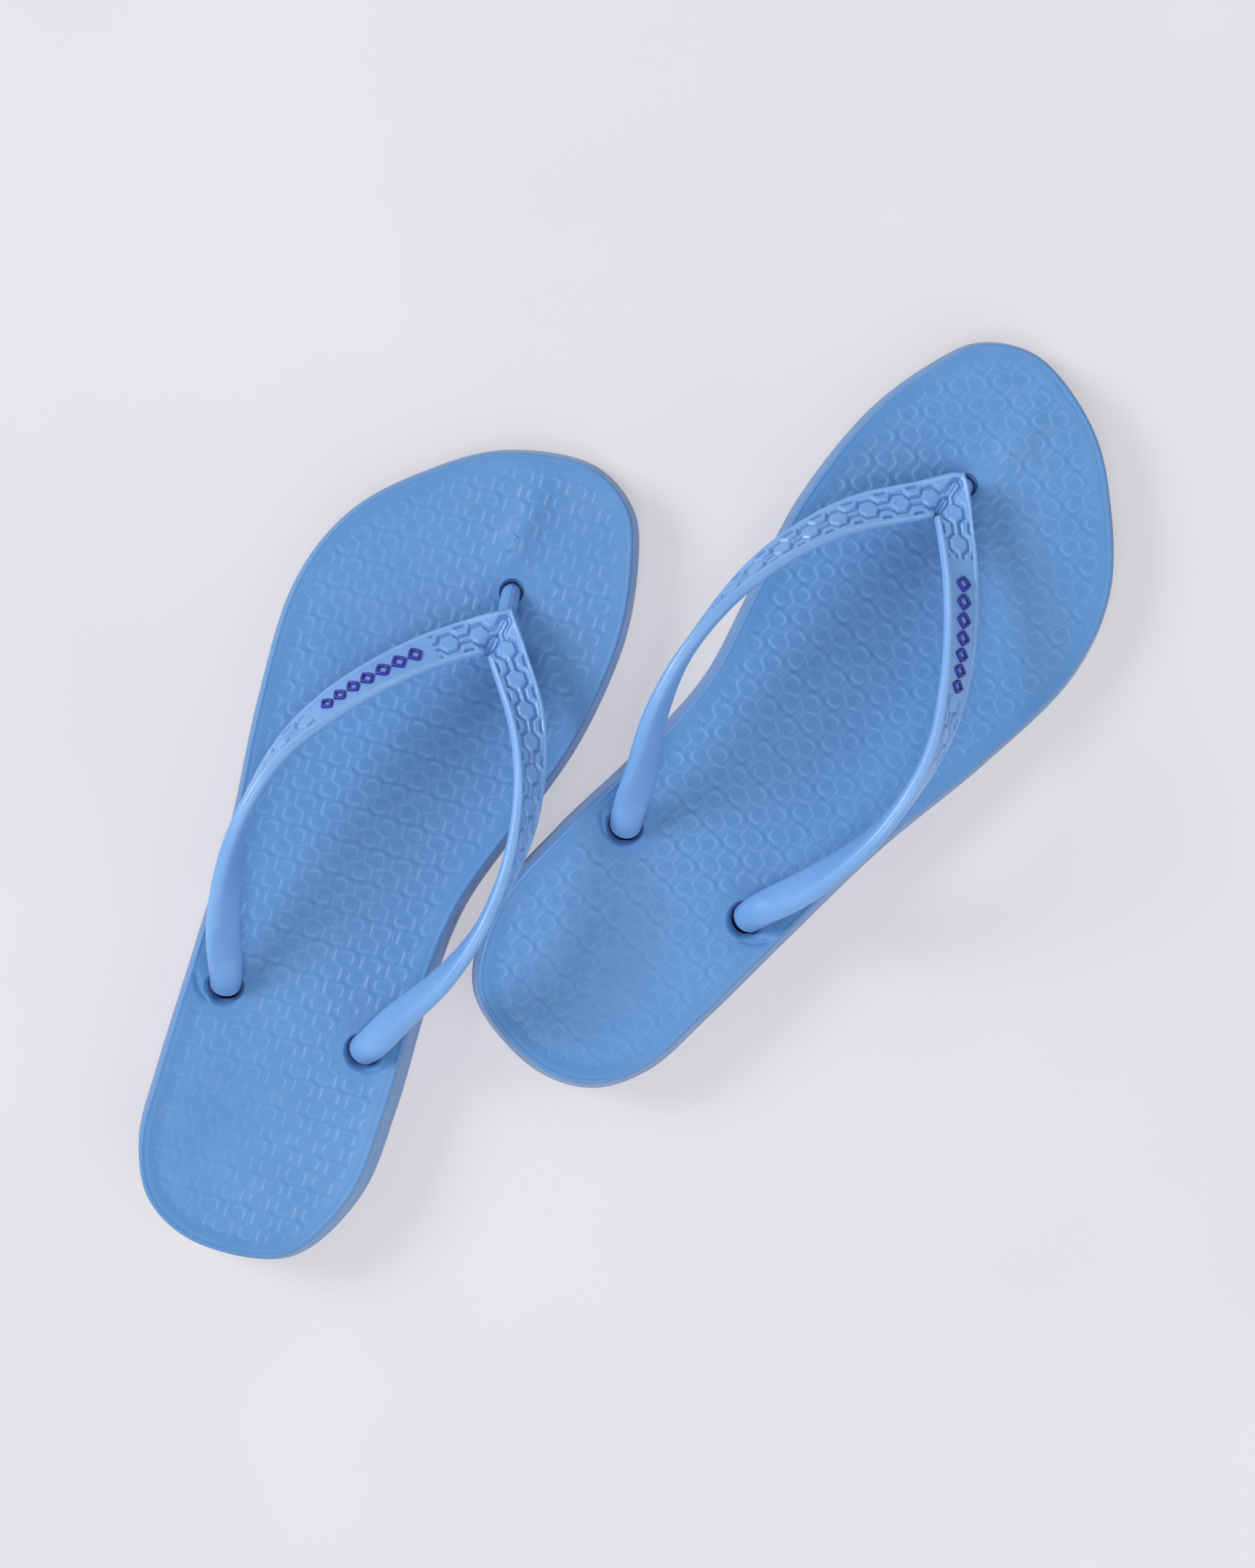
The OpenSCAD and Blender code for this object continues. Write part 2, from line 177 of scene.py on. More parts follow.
def place(points, side):
    """Millimetres in the left sandal's own frame to metres in the row frame."""
    p = np.array(points, float)
    x, y = p[:, 0], p[:, 1] - TURNED_MID
    c, s = math.cos(TOE_OUT), math.sin(TOE_OUT)
    across, along = x * c - y * s, x * s + y * c
    if side == "left":
        return np.c_[across - PAIR_ACROSS / 2, along - PAIR_ALONG / 2, p[:, 2]] * MM
    return np.c_[PAIR_ACROSS / 2 - across, along + PAIR_ALONG / 2, p[:, 2]] * MM


def shade(mesh):
    """Smooth shading, apart from the sharp edges."""
    mesh.shade_smooth()
    mesh.set_sharp_from_angle(angle=SHARP)


def make_object(name, points, faces, side="left", values=None):
    """A mesh from points in the left sandal's frame, with named values on its points. On the right
    side it is mirrored, and its faces are turned round to suit."""
    flip = side == "right"
    mesh = bpy.data.meshes.new(name)
    mesh.from_pydata(place(points, side).tolist(), [], [f[::-1] if flip else f for f in faces])
    for key, value in (values or {}).items():
        layer = mesh.attributes.new(key, "FLOAT", "POINT")
        layer.data.foreach_set("value", np.asarray(value, np.float32))
    mesh.update()
    shade(mesh)
    obj = bpy.data.objects.new(name, mesh)
    bpy.context.scene.collection.objects.link(obj)
    return obj


def ring_faces(rings, n):
    """Quads between closed rings of n points."""
    r, i = np.meshgrid(np.arange(rings - 1), np.arange(n), indexing="ij")
    j = (i + 1) % n
    quads = np.stack([r * n + i, (r + 1) * n + i, (r + 1) * n + j, r * n + j], -1)
    return quads.reshape(-1, 4).tolist()


def boolean(obj, tools, operation):
    """Cuts or joins closed tools into obj and removes them."""
    bpy.context.view_layer.update()
    for tool in tools:
        m = obj.modifiers.new("cut", "BOOLEAN")
        m.operation = operation
        m.solver = "MANIFOLD"
        m.object = tool
    graph = bpy.context.evaluated_depsgraph_get()
    done = bpy.data.meshes.new_from_object(obj.evaluated_get(graph))
    obj.modifiers.clear()
    old = obj.data
    obj.data = done
    bpy.data.meshes.remove(old)
    for tool in tools:
        gone = tool.data
        bpy.data.objects.remove(tool)
        bpy.data.meshes.remove(gone)
    obj.data.name = obj.name
    shade(obj.data)


def prism(loop, z0, z1):
    """A closed upright prism on a loop that runs anticlockwise seen from above."""
    n = len(loop)
    points = np.vstack([np.c_[loop, np.full(n, z)] for z in (z0, z1)])
    faces = [[i, (i + 1) % n, n + (i + 1) % n, n + i] for i in range(n)]
    faces += [list(range(n))[::-1], list(range(n, 2 * n))]
    return make_object("prism", points, faces)


def outward(obj):
    """Turns a closed mesh's faces outwards if they point in."""
    mesh = obj.data
    co = np.zeros(len(mesh.vertices) * 3)
    mesh.vertices.foreach_get("co", co)
    co = co.reshape(-1, 3)
    mesh.calc_loop_triangles()
    tri = np.zeros(len(mesh.loop_triangles) * 3, int)
    mesh.loop_triangles.foreach_get("vertices", tri)
    a, b, c = co[tri.reshape(-1, 3).T]
    if (a * np.cross(b, c)).sum() < 0:
        mesh.flip_normals()
    return obj


def capped_tube(name, rings, side="left", values=None):
    """A closed solid from rings of points, with its first and last ring capped."""
    n, count = rings.shape[1], rings.shape[0]
    faces = ring_faces(count, n)
    faces += [list(range(n)), [(count - 1) * n + k for k in range(n)][::-1]]
    return outward(make_object(name, rings.reshape(-1, 3), faces, side, values))


# ---- Sole

# The moulded pattern: wavy bands that step up and down, each with a column of rounded pads
PATTERN_TURN = math.radians(8.7)
PATTERN_AT = np.array([-3.34, 206.18])
BAND_PITCH, PAD_PITCH = 7.85, 9.7
WAVE, WAVE_STEEP = 1.45, 1.9
PAD_R, PAD_SQUASH = 1.82, 0.88
# The last of these is how far the pale mark beside the pattern's edges reaches, partly rubbing and
# partly painted highlight
EMBOSS_H, EMBOSS_EDGE, EMBOSS_WEAR_GLINT_W = 0.25, 0.28, 0.32
# The pattern stops short of the rim and of the holes, and feet have worn it smooth in places
PATTERN_BORDER, BORDER_FADE, HOLE_FADE = 3.4, 2.2, 3.0
BARE_ROUND = [(POST_AT, 5.5), (OUTER_SLOT_AT, 8.5), (INNER_SLOT_AT, 8.5)]
MOST_WORN = 0.85
WORN_SPOTS = [
    (0.75, (0, 30), 20, 32),
    (0.45, (-24, 190), 22, 40),
    (0.40, (20, 226), 16, 14),
    (0.30, (-20, 110), 16, 40),
]
# A ridge between the first two toes, the hollows of the big toe and the ball, and the dips round
# the post's hole and the rear slots
FOOTBED_FORMS = [
    (1.9, (5.5, 225), 5.2, 12),
    (-0.6, (25, 220), 13, 17),
    (-0.5, (-12, 178), 26, 30),
    (-1.1, POST_AT - [0, POST_SLANT], 6.5, 6.5),
    (-0.7, OUTER_SLOT_AT - [0, 1], 8, 8),
    (-0.6, INNER_SLOT_AT - [0, 1], 8, 8),
]
# Creases behind the rear slots: depth, centre, radius, and the angles in degrees where they end
CREASES = [
    (0.9, OUTER_SLOT_AT + [0.4, 4.0], 10.4, 200, 262),
    (0.7, INNER_SLOT_AT + [-1.0, 3.6], 9.6, 282, 340),
]
CREASE_W, CREASE_FADE = 0.7, 15

# The sole's rings: points for each stretch of the outline, rows up the wall and over the footbed,
# and how far in the closely spaced rings of the lip go
STEPS_ROUND, WALL_ROWS, TOP_ROWS, FINE_LIP = 64, 14, 100, 2.4
UNDER_PARTS = (0.985, 0.8, 0.6, 0.4, 0.2, 0.06)
LAST_PART = 0.988
# The last of these is how pale the rim's curve is painted, partly rubbing and partly painted
# highlight
FOOT_R, RIM_R, RIM_WEAR_AND_GLINT = 1.0, 0.8, 0.7
# The lip falls by a small step and then a slope, as shares of the cup's depth, and the cup is
# deepest from CUP_FULL_AT of the way in to the spine
LIP_STEP, LIP_STEP_W, LIP_SLOPE, CUP_FULL_AT = 0.08, 1.4, 0.52, 0.625
CHANNEL_AT, CHANNEL_W, CHANNEL_D = 1.5, 0.5, 0.14

# The holes' mouths: height, gap round the strap's end, and how far each reaches back to the heel
POST_MOUTH_Z, POST_GAP, POST_BACK = 13.0, 1.8, -0.3
SLOT_MOUTH_Z, SLOT_GAP, SLOT_BACK = 18.4, 1.0, 0.5
# The cutters reach from under the sole to over it
CUT_FROM, CUT_TO = -1, 30
# The tread's arcs: how many, where they lie, and the angle in degrees that half of one spans. Under
# the ball they drift outwards, and each is a little longer than the last.
ARC_STEPS = 40
HEEL_ARCS, HEEL_ARCS_X, HEEL_ARCS_FROM, HEEL_HALF_ANGLE = 7, 0.14 * BALL_W, 0.062 * SOLE_L, 21
BALL_ARCS, BALL_ARCS_X, BALL_ARCS_END_X = 11, 0.02 * BALL_W, -0.03 * BALL_W
BALL_ARCS_FROM, BALL_HALF_ANGLE, BALL_ARC_SPREAD = 0.44 * SOLE_L, 20, 0.9


def ground_z(y):
    """Height of the underside, which rises at the toe."""
    start = 0.78 * SOLE_L
    return TOE_SPRING * np.maximum(0, (y - start) / (SOLE_L - start)) ** 2


def rim_z(y):
    """Height of the rim."""
    start, end = 0.20 * SOLE_L, 0.74 * SOLE_L
    return mix(HEEL_T, TOE_T, smooth((y - start) / (end - start))) + ground_z(y)


def sink_at(y):
    """Depth of the cup, which is shallower towards the toes."""
    start, run, toe_share = 0.1 * SOLE_L, 0.5 * SOLE_L, 0.35
    return CUP_DEPTH * mix(1, toe_share, smooth((y - start) / run))


def rounded_square(x, y):
    """Distance from the centre, in a measure whose circles are squares with round corners."""
    return (np.abs(x) ** 3 + np.abs(y) ** 3) ** (1 / 3)


def emboss(x, y):
    """Height of the footbed's pattern, from 0 to 1, and how near each point is to an edge of it,
    for a pale mark that is partly rubbing and partly painted highlight.
    """
    c, s = math.cos(PATTERN_TURN), math.sin(PATTERN_TURN)
    a = (x * c + y * s - PATTERN_AT[0]) / BAND_PITCH
    b = (y * c - x * s - PATTERN_AT[1]) / PAD_PITCH
    off = np.abs(a - np.round(a)) * BAND_PITCH
    wave = np.clip(WAVE_STEEP * np.cos(2 * math.pi * b), -1, 1)
    wave = wave * (1.5 - 0.5 * wave * wave)
    to_band = BAND_PITCH / 4 + WAVE * wave - off
    row = (b - np.round(b)) * PAD_PITCH / PAD_SQUASH
    half_row = (b + 0.5 - np.round(b + 0.5)) * PAD_PITCH / PAD_SQUASH
    to_pad = PAD_R - rounded_square(off, row)
    to_half_pad = PAD_R - rounded_square(BAND_PITCH / 2 - off, half_row)
    band = step(to_band, EMBOSS_EDGE)
    height = band * (1 - step(to_pad, EMBOSS_EDGE)) + (1 - band) * step(to_half_pad, EMBOSS_EDGE)
    near = [np.exp(-(d / EMBOSS_WEAR_GLINT_W) ** 2) for d in (to_band, to_pad, to_half_pad)]
    return height, np.maximum.reduce(near)


def crease(x, y, centre, radius, start, end):
    """A shallow curved crease along an arc, from one angle to another in degrees."""
    dx, dy = x - centre[0], y - centre[1]
    angle = np.degrees(np.arctan2(dy, dx)) % 360
    inside = smooth((angle - start) / CREASE_FADE) * smooth((end - angle) / CREASE_FADE)
    return inside * np.exp(-((np.hypot(dx, dy) - radius) / CREASE_W) ** 2)


def footbed_detail(x, y, inset):
    """Height added to the footbed, and how near each point is to an edge of the pattern, for its
    pale mark of rubbing and painted highlight.
    """
    height, edge = emboss(x, y)
    clear = smooth((inset - PATTERN_BORDER) / BORDER_FADE)
    for at, radius in BARE_ROUND:
        clear = clear * smooth((np.hypot(x - at[0], y - at[1]) - radius) / HOLE_FADE)
    clear = clear * (1 - np.clip(spots(x, y, WORN_SPOTS), 0, MOST_WORN))
    z = EMBOSS_H * clear * (height - 0.5) + spots(x, y, FOOTBED_FORMS)
    for depth, centre, radius, start, end in CREASES:
        z -= depth * crease(x, y, centre, radius, start, end)
    return z, edge * clear


def add_top(add, xy, inset, sink):
    """One ring of the footbed, with its channel inside the rim and its moulded detail."""
    x, y = xy.T
    detail, wear_and_glint = footbed_detail(x, y, inset)
    channel = CHANNEL_D * np.exp(-((inset - CHANNEL_AT) / CHANNEL_W) ** 2)
    inside = smooth((inset - RIM_R) / 2)
    add(xy, rim_z(y) - sink * sink_at(y) - channel + detail * inside, wear_and_glint)


def sole_points():
    """The sole's rings of points, from the spine of its underside round to the spine of the
    footbed, and how pale each point is painted, partly for rubbing and partly as painted highlight."""
    n = len(OUTLINE)
    t = np.arange(n * STEPS_ROUND) / STEPS_ROUND
    k = t.astype(int)
    p = [OUTLINE[(k + j) % n] for j in (-1, 0, 1, 2)]
    edge = curve(*p, (t - k)[:, None])
    count = len(edge)
    d = np.roll(edge, -1, 0) - np.roll(edge, 1, 0)
    out = unit(np.c_[-d[:, 1], d[:, 0]])
    u = 1 - np.abs(1 - 2 * np.arange(count) / count)
    spine = mix(SPINE_HEEL, SPINE_TOE, smooth(mix(0.02, 0.98, u))[:, None])
    base, rim = ground_z(edge[:, 1]), rim_z(edge[:, 1])
    drafted = rim * WALL_DRAFT
    rings, wear_and_glint = [], []

    def add(xy, z, worn_and_glint=0.0):
        rings.append(np.c_[xy, z])
        wear_and_glint.append(np.full(count, 1.0) * worn_and_glint)

    # Underside, from the spine out
    for part in UNDER_PARTS:
        xy = mix(edge - out * FOOT_R, spine, part)
        add(xy, ground_z(xy[:, 1]))
    # Rounded foot
    for a in np.radians([0, 22.5, 45, 67.5]):
        z = FOOT_R * (1 - np.cos(a))
        xy = edge - out * (FOOT_R * (1 - np.sin(a)) + drafted * (z / rim))[:, None]
        add(xy, ground_z(xy[:, 1]) + z)
    # Drafted wall
    for share in np.linspace(0, 1, WALL_ROWS):
        z = mix(FOOT_R, rim - base - RIM_R, share)
        xy = edge - out * (drafted * z / (rim - base))[:, None]
        add(xy, base + z)
    # Rounded rim, painted paler on its curve, partly for rubbing and partly as painted highlight
    for a in np.radians([18, 36, 54, 72, 90]):
        xy = edge - out * (drafted + RIM_R * (1 - np.cos(a)))[:, None]
        add(xy, rim_z(xy[:, 1]) - RIM_R * (1 - np.sin(a)), RIM_WEAR_AND_GLINT * math.sin(2 * a))
    # Lip
    full = RIM_R + LIP_W
    fine = np.linspace(RIM_R, RIM_R + FINE_LIP, 10)[1:]
    coarse = np.linspace(RIM_R + FINE_LIP, full, 9)[1:]
    for inset in np.r_[fine, coarse]:
        xy = edge - out * (drafted + inset)[:, None]
        inside = inset - RIM_R
        sink = LIP_STEP * smooth(inside / LIP_STEP_W) + LIP_SLOPE * smooth(inside / LIP_W)
        add_top(add, xy, inset, sink)
    # Footbed, in to the spine
    start = edge - out * (drafted + full)[:, None]
    reach = np.linalg.norm(spine - start, axis=1)
    for part in np.linspace(0, LAST_PART, TOP_ROWS)[1:]:
        sink = mix(LIP_STEP + LIP_SLOPE, 1, smooth(part / CUP_FULL_AT))
        add_top(add, mix(start, spine, part), full + reach * part, sink)
    return np.array(rings), np.concatenate(wear_and_glint)


def closing_strips(start, n, flip):
    """Faces across the ring of n points that begins at start, between its two long sides."""
    faces = []
    for i in range(n // 2):
        a, b, c, d = start + i, start + i + 1, start + (n - i - 1) % n, start + (n - i) % n
        loop = [v for k, v in enumerate((a, b, c, d)) if v not in (a, b, c, d)[:k]]
        if len(loop) > 2:
            faces.append(loop if flip else loop[::-1])
    return faces


def tread_arc(x, y, half_angle):
    """A curved groove cutter under the sole."""
    a = np.radians(90 + np.linspace(-half_angle, half_angle, ARC_STEPS))
    inner = np.c_[x + TREAD_R * np.cos(a), y - TREAD_R + TREAD_R * np.sin(a)]
    r = TREAD_R + GROOVE_W
    outer = np.c_[x + r * np.cos(a), y - TREAD_R + r * np.sin(a)]
    return prism(np.vstack([outer, inner[::-1]]), CUT_FROM, GROOVE_D)


def hole_cutter(at, turn, long, short, mouth, gap, back, bulge=1, slant=0):
    """The cutter of a hole that fits a strap end closely at the bottom and opens towards its
    rounded mouth, where it also reaches further back, towards the heel."""
    # Each loop is a height, how far open the hole is there, and how far its lip is rounded
    loops = [(RECESS_Z - 0.5, 0.1, 0), (mouth - 3, 0.1, 0), (mouth - 1.4, 0.8, 0),
             (mouth - 0.7, 1, 0.05), (mouth - 0.2, 1, 0.2), (mouth + 0.2, 1, 0.5),
             (mouth + 0.7, 1, 1.1), (CUT_TO, 1, 1.2)]
    side_gap, end_gap = 0.45 * gap, 0.6 * gap
    a = angles(ROUND_N)
    c, s = math.cos(turn), math.sin(turn)
    half = short / 2 * np.where(np.sin(a) < 0, bulge, 1)
    rings = []
    for z, share, lip in loops:
        x = (long / 2 + side_gap * share + lip) * np.cos(a)
        y = (half + end_gap * share + lip) * np.sin(a) - back * share
        y -= slant * min(1, (z - PLUG_Z) / (mouth - PLUG_Z))
        rings.append(np.c_[at[0] + x * c - y * s, at[1] + x * s + y * c, np.full(ROUND_N, z)])
    return capped_tube("hole", np.array(rings))


def build_sole():
    """The left sole, with its holes, plug recesses and tread cut."""
    rings, wear_and_glint = sole_points()
    count, around = rings.shape[:2]
    faces = ring_faces(count, around)
    faces += closing_strips(0, around, True)
    faces += closing_strips((count - 1) * around, around, False)
    # The edge mark paints the pattern's and rim's edges paler, partly rubbing and partly painted
    # highlight
    sole = make_object("left_sole_moulded", rings.reshape(-1, 3), faces, values={"edge": wear_and_glint})
    tools = [hole_cutter(POST_AT, 0, POST_WAIST, POST_WAIST, POST_MOUTH_Z, POST_GAP, POST_BACK,
                         slant=POST_SLANT)]
    for at, turn in ((OUTER_SLOT_AT, OUTER_SLOT_TURN), (INNER_SLOT_AT, INNER_SLOT_TURN)):
        tools.append(hole_cutter(at, turn, FINGER_W * TIP_TAPER, FINGER_T, SLOT_MOUTH_Z, SLOT_GAP,
                                 SLOT_BACK, bulge=TIP_BULGE))
    for at in (POST_AT, OUTER_SLOT_AT, INNER_SLOT_AT):
        tools.append(prism(circle(at, PLUG_D / 2 + PLUG_GAP), CUT_FROM, RECESS_Z))
    for k in range(HEEL_ARCS):
        y = HEEL_ARCS_FROM + k * TREAD_PITCH
        tools.append(tread_arc(HEEL_ARCS_X, y, HEEL_HALF_ANGLE))
    for k in range(BALL_ARCS):
        x = mix(BALL_ARCS_X, BALL_ARCS_END_X, k / (BALL_ARCS - 1))
        y = BALL_ARCS_FROM + k * TREAD_PITCH
        tools.append(tread_arc(x, y, BALL_HALF_ANGLE + BALL_ARC_SPREAD * k))
    boolean(sole, tools, "DIFFERENCE")
    return sole


def mirrored(obj, name):
    """The right sandal's copy of a piece of the left one."""
    mesh = obj.data.copy()
    mesh.name = name
    co = np.zeros(len(mesh.vertices) * 3, np.float32)
    mesh.vertices.foreach_get("co", co)
    co = co.reshape(-1, 3) * [-1, 1, 1] + [0, PAIR_ALONG * MM, 0]
    mesh.vertices.foreach_set("co", co.ravel())
    mesh.flip_normals()
    mesh.update()
    copy = bpy.data.objects.new(name, mesh)
    bpy.context.scene.collection.objects.link(copy)
    return copy


# ---- Strap

# An arm's ring numbers run from 0 at the V, by ARM_STEPS from one station to the next
ARM_STEPS = 3
ARM_RINGS = (len(OUTER_ARM) - 1) * ARM_STEPS
# Distance between the rings that are made, steps that measure an arm, and rings down to its plug
RING_SPACING, LENGTH_STEPS, SHANK_STEPS = 0.36, 1201, 16
# Points across the arm's face and back, and the section's shape as shares of its width and
# thickness: the height of its widest line, how far out the face is flat, and the back's roundness
FACE_N, BACK_N = 61, 27
WIDEST, FLAT_HALF, BACK_POWER = 0.05, 0.43, 0.39
FLASH_W = 0.14
# The section is a finger's from this share of finger on. Over the last stretch it turns oval, and
# its back bulges as it narrows: how far before the end each starts, and over what length it comes.
FINGER_FULL_AT = 0.625
OVAL_RUN, BULGE_RUN, NARROW_RUN = (26, 20), (15, 13), (17, 15)

# The ribbon's relief, in mm: a chain of pads joined by a rib, a groove on each side of the chain,
# side panels with small notches, and a rim along each edge
CHAIN_PITCH, FIRST_PAD = 9.3, 6.3
PAD_HALF, PAD_FLAT, PAD_SLOPE, SLOPE_COS = 2.95, 1.5, 1.5, 0.62
NECK_HALF = 1.05
GROOVE_HALF, GROOVE_SOFT, CHAIN_GROOVE_D = 0.6, 0.24, 0.80
PANEL_EDGE, PANEL_SOFT, PANEL_D = 4.35, 0.35, 0.30
NOTCH_EDGE, NOTCH_HALF, NOTCH_SLOPE, NOTCH_SOFT, NOTCH_D = PANEL_EDGE + 0.1, 1.9, 0.7, 0.2, 0.6
FIRST_NOTCH = 5
# The relief leaves a plain panel for the trim and fades out before the finger
TRIM_ZONE, TRIM_FADE, TRIM_PANEL_D = (19.0, 61.0), 1.5, 0.12
RELIEF_FADE = (72.0, 88.0)
# Round the V the outer grooves close in an arch over a narrow loop, and below it the inner grooves
# part round a raised loop. Each loop has a fine slit down its middle.
V_FROM, V_GROOVE_FROM, V_SOFT = 1.2, 1.0, 0.4
ARCH_FROM, ARCH_TO, ARCH_R, ARCH_HALF, ARCH_SOFT = 0.2, 2.9, 1.5, 2.4, 0.3
LOOP_TOP, LOOP_HALF, LOOP_SOFT = -1.9, 0.8, 0.25
SLIT_FOOT, SLIT_TOP, SLIT_HALF, SLIT_SOFT, SLIT_D = -7.5, 3.2, 0.16, 0.2, 0.3
# Where the pale marks of rubbing and painted highlight lie and how wide they are: on the rims,
# beside the grooves and the panels
RIM_MARK_AT, RIM_MARK_W, CHAIN_MARK_W, PANEL_MARK_W = 0.46, 0.03, 0.28, 0.3

# The toe post: points round it, rings up its hole, round its bend and on to the V, where its root,
# foot and tip lie, how its thickness changes at both ends, and its parting ridges
POST_N, HOLE_STEPS, BEND_STEPS, LEAN_STEPS = 96, 12, 14, 16
POST_ROOT_UP, POST_FOOT_DOWN = 1.5, 0.6 * POST_BEND_R
POST_TIP_DOWN, POST_TIP_ON = 1, 3
POST_FLARE, POST_FLARE_RINGS, POST_WAIST_RINGS = 0.10, 8, 3
RIDGE_H, RIDGE_W = 0.16, 0.07

# Radius and height along the plug's outline, which has a shallow ring pressed into its underside
PLUG_PROFILE = [
    (0.01, 0.0), (5.0, 0.0), (5.4, 0.35), (6.4, 0.35), (6.8, 0.0), (7.9, 0.0), (8.3, 0.18),
    (8.5, 0.6), (8.5, 2.4), (8.3, 2.82), (7.9, 3.0), (0.01, 3.0),
]


def stations(arm, i):
    """The arm's table of stations, read on a smooth curve at ring numbers i."""
    last = len(arm) - 1
    k = np.minimum((i // ARM_STEPS).astype(int), last - 1)
    t = (i / ARM_STEPS - k)[:, None]
    padded = np.vstack([2 * arm[0] - arm[1], arm, 2 * arm[last] - arm[last - 1]])
    return curve(padded[k], padded[k + 1], padded[k + 2], padded[k + 3], t)


def arm_centres(arm, i, settle):
    """Centres at ring numbers i, where settle is how far back the V lies."""
    s = stations(arm, i)
    u = i / ARM_RINGS
    return np.c_[s[:, 0] * BALL_W, s[:, 1] * SOLE_L - settle * (1 - u) ** 2,
                 V_HEIGHT + s[:, 2] * (ARM_HEIGHT - V_HEIGHT)]


def arm_frames(arm, i, hand, side):
    """Centres, directions across and out of the face, along and square across, widths,
    thicknesses and shares of finger at ring numbers i. hand is 1 on the outer arm and -1 on the
    inner one."""
    nudge = 0.05
    settle = SETTLE[side]
    s = stations(arm, i)
    finger = s[:, 4]
    c = arm_centres(arm, i, settle)
    ahead = arm_centres(arm, np.minimum(i + nudge, ARM_RINGS), settle)
    behind = arm_centres(arm, np.maximum(i - nudge, 0), settle)
    along = unit(ahead - behind)
    level = unit(np.c_[along[:, 1], -along[:, 0], np.zeros(len(i))]) * hand
    up = unit(np.cross(level, along)) * hand
    roll = np.radians(s[:, 3:4])
    square_on = level * np.cos(roll) - up * np.sin(roll)
    square_face = level * np.sin(roll) + up * np.cos(roll)
    from_v = np.linalg.norm(c - arm_centres(arm, np.zeros(1), settle), axis=1)
    turn = smooth(from_v / MITRE_RUN)[:, None]
    across = unit(mix(unit(MITRE)[None], square_on, turn))
    face = mix(np.array([[0, 0, 1.0]]), square_face, turn)
    face = unit(face - across * (face * across).sum(1, keepdims=True))
    beside = mix(V_RIBBON_W, RIBBON_W, smooth(from_v / WIDEN_RUN))
    square = (across * square_on).sum(1)
    wide = mix(beside, FINGER_W, finger) / np.maximum(square, MITRE_BLUNT[side])
    thick = mix(RIBBON_T, FINGER_T, finger)
    return c, across, face, along, square_on, wide, thick, finger


def arm_lengths(arm, settle):
    """Ring numbers and the arc length from the V at each."""
    i = np.linspace(0, ARM_RINGS, LENGTH_STEPS)
    c = arm_centres(arm, i, settle)
    return i, np.r_[0, np.cumsum(np.linalg.norm(np.diff(c, axis=0), axis=1))]


def ribbon_relief(s, u, h, q, has_trim):
    """Depth below the rims at a length s from the V, u across towards the outer edge, and h, q
    along and off the mitre line. Also how near the point is to an edge, for a pale mark of rubbing
    and painted highlight, and how deep in a groove, for painted shade."""
    phase = (s - FIRST_PAD) / CHAIN_PITCH
    c = np.abs(phase - np.round(phase)) * CHAIN_PITCH
    a = np.abs(u)
    # The chain's half width, and the grooves that follow it
    slope = np.clip((c - PAD_FLAT) / PAD_SLOPE, 0, 1)
    slope = np.where(s < FIRST_PAD - CHAIN_PITCH / 2, 1, slope)
    centre = mix(PAD_HALF, NECK_HALF, slope)
    off = np.abs(a - centre) * np.where((slope > 0) & (slope < 1), SLOPE_COS, 1)
    groove = step(GROOVE_HALF - off, GROOVE_SOFT)
    # The arch and the loops at the V
    loop = np.hypot(q, h - np.clip(h, ARCH_FROM, ARCH_TO))
    arch = step(GROOVE_HALF - np.abs(loop - ARCH_R), ARCH_SOFT) * step(h + 0.1, V_SOFT)
    in_arch = ((s < V_FROM) & (u > 0)) | ((h > 0) & (q < ARCH_HALF))
    groove = np.where(in_arch, np.maximum(arch, groove * (s > V_GROOVE_FROM)), groove)
    below = step(LOOP_TOP - h, V_SOFT)
    groove = groove * (1 - step(LOOP_HALF - q, LOOP_SOFT) * below)
    lower_slit = step(h - SLIT_FOOT, 0.5) * below
    upper_slit = step(h - ARCH_FROM, V_SOFT) * step(SLIT_TOP - h, V_SOFT)
    slit = step(SLIT_HALF - q, SLIT_SOFT) * (lower_slit + upper_slit)
    # Panels, and a notch beside each neck
    from_neck = CHAIN_PITCH / 2 - c
    reach = np.clip((NOTCH_HALF - from_neck) / NOTCH_SLOPE, 0, 1) * (s > FIRST_NOTCH)
    notch = step(a - (NOTCH_EDGE - reach), NOTCH_SOFT) * step(NOTCH_EDGE - a, NOTCH_SOFT)
    panel = step(PANEL_EDGE - a, PANEL_SOFT)
    relief = np.ones_like(s)
    if has_trim:
        start, end = TRIM_ZONE
        relief = 1 - smooth((s - start) / TRIM_FADE) * smooth((end - s) / TRIM_FADE)
    fade = 1 - smooth((s - RELIEF_FADE[0]) / (RELIEF_FADE[1] - RELIEF_FADE[0]))
    cut = np.minimum(CHAIN_GROOVE_D * groove + NOTCH_D * notch + SLIT_D * slit, CHAIN_GROOVE_D)
    depth = PANEL_D * panel + cut * relief + TRIM_PANEL_D * (1 - relief) * panel
    edge = (np.exp(-((off - GROOVE_HALF) / CHAIN_MARK_W) ** 2) * relief
            + np.exp(-((a - PANEL_EDGE - 0.2) / PANEL_MARK_W) ** 2))
    # Painted shade in the grooves and notches
    groove_shade = np.maximum(groove, 0.9 * notch) * relief
    return depth * fade, np.clip(edge, 0, 1) * fade, groove_shade * fade


def section_x(n):
    """n places across a section from 0.5 to -0.5, closer together near both edges."""
    v = np.linspace(1, -1, n)
    return 0.5 * (0.5 * v + 0.5 * np.sin(v * math.pi / 2))


def section_ring():
    """Places across the arm once round its section, face then back, and which are on the face."""
    x = np.r_[section_x(FACE_N), section_x(BACK_N)[::-1][1:-1]]
    return x, np.arange(len(x)) < FACE_N


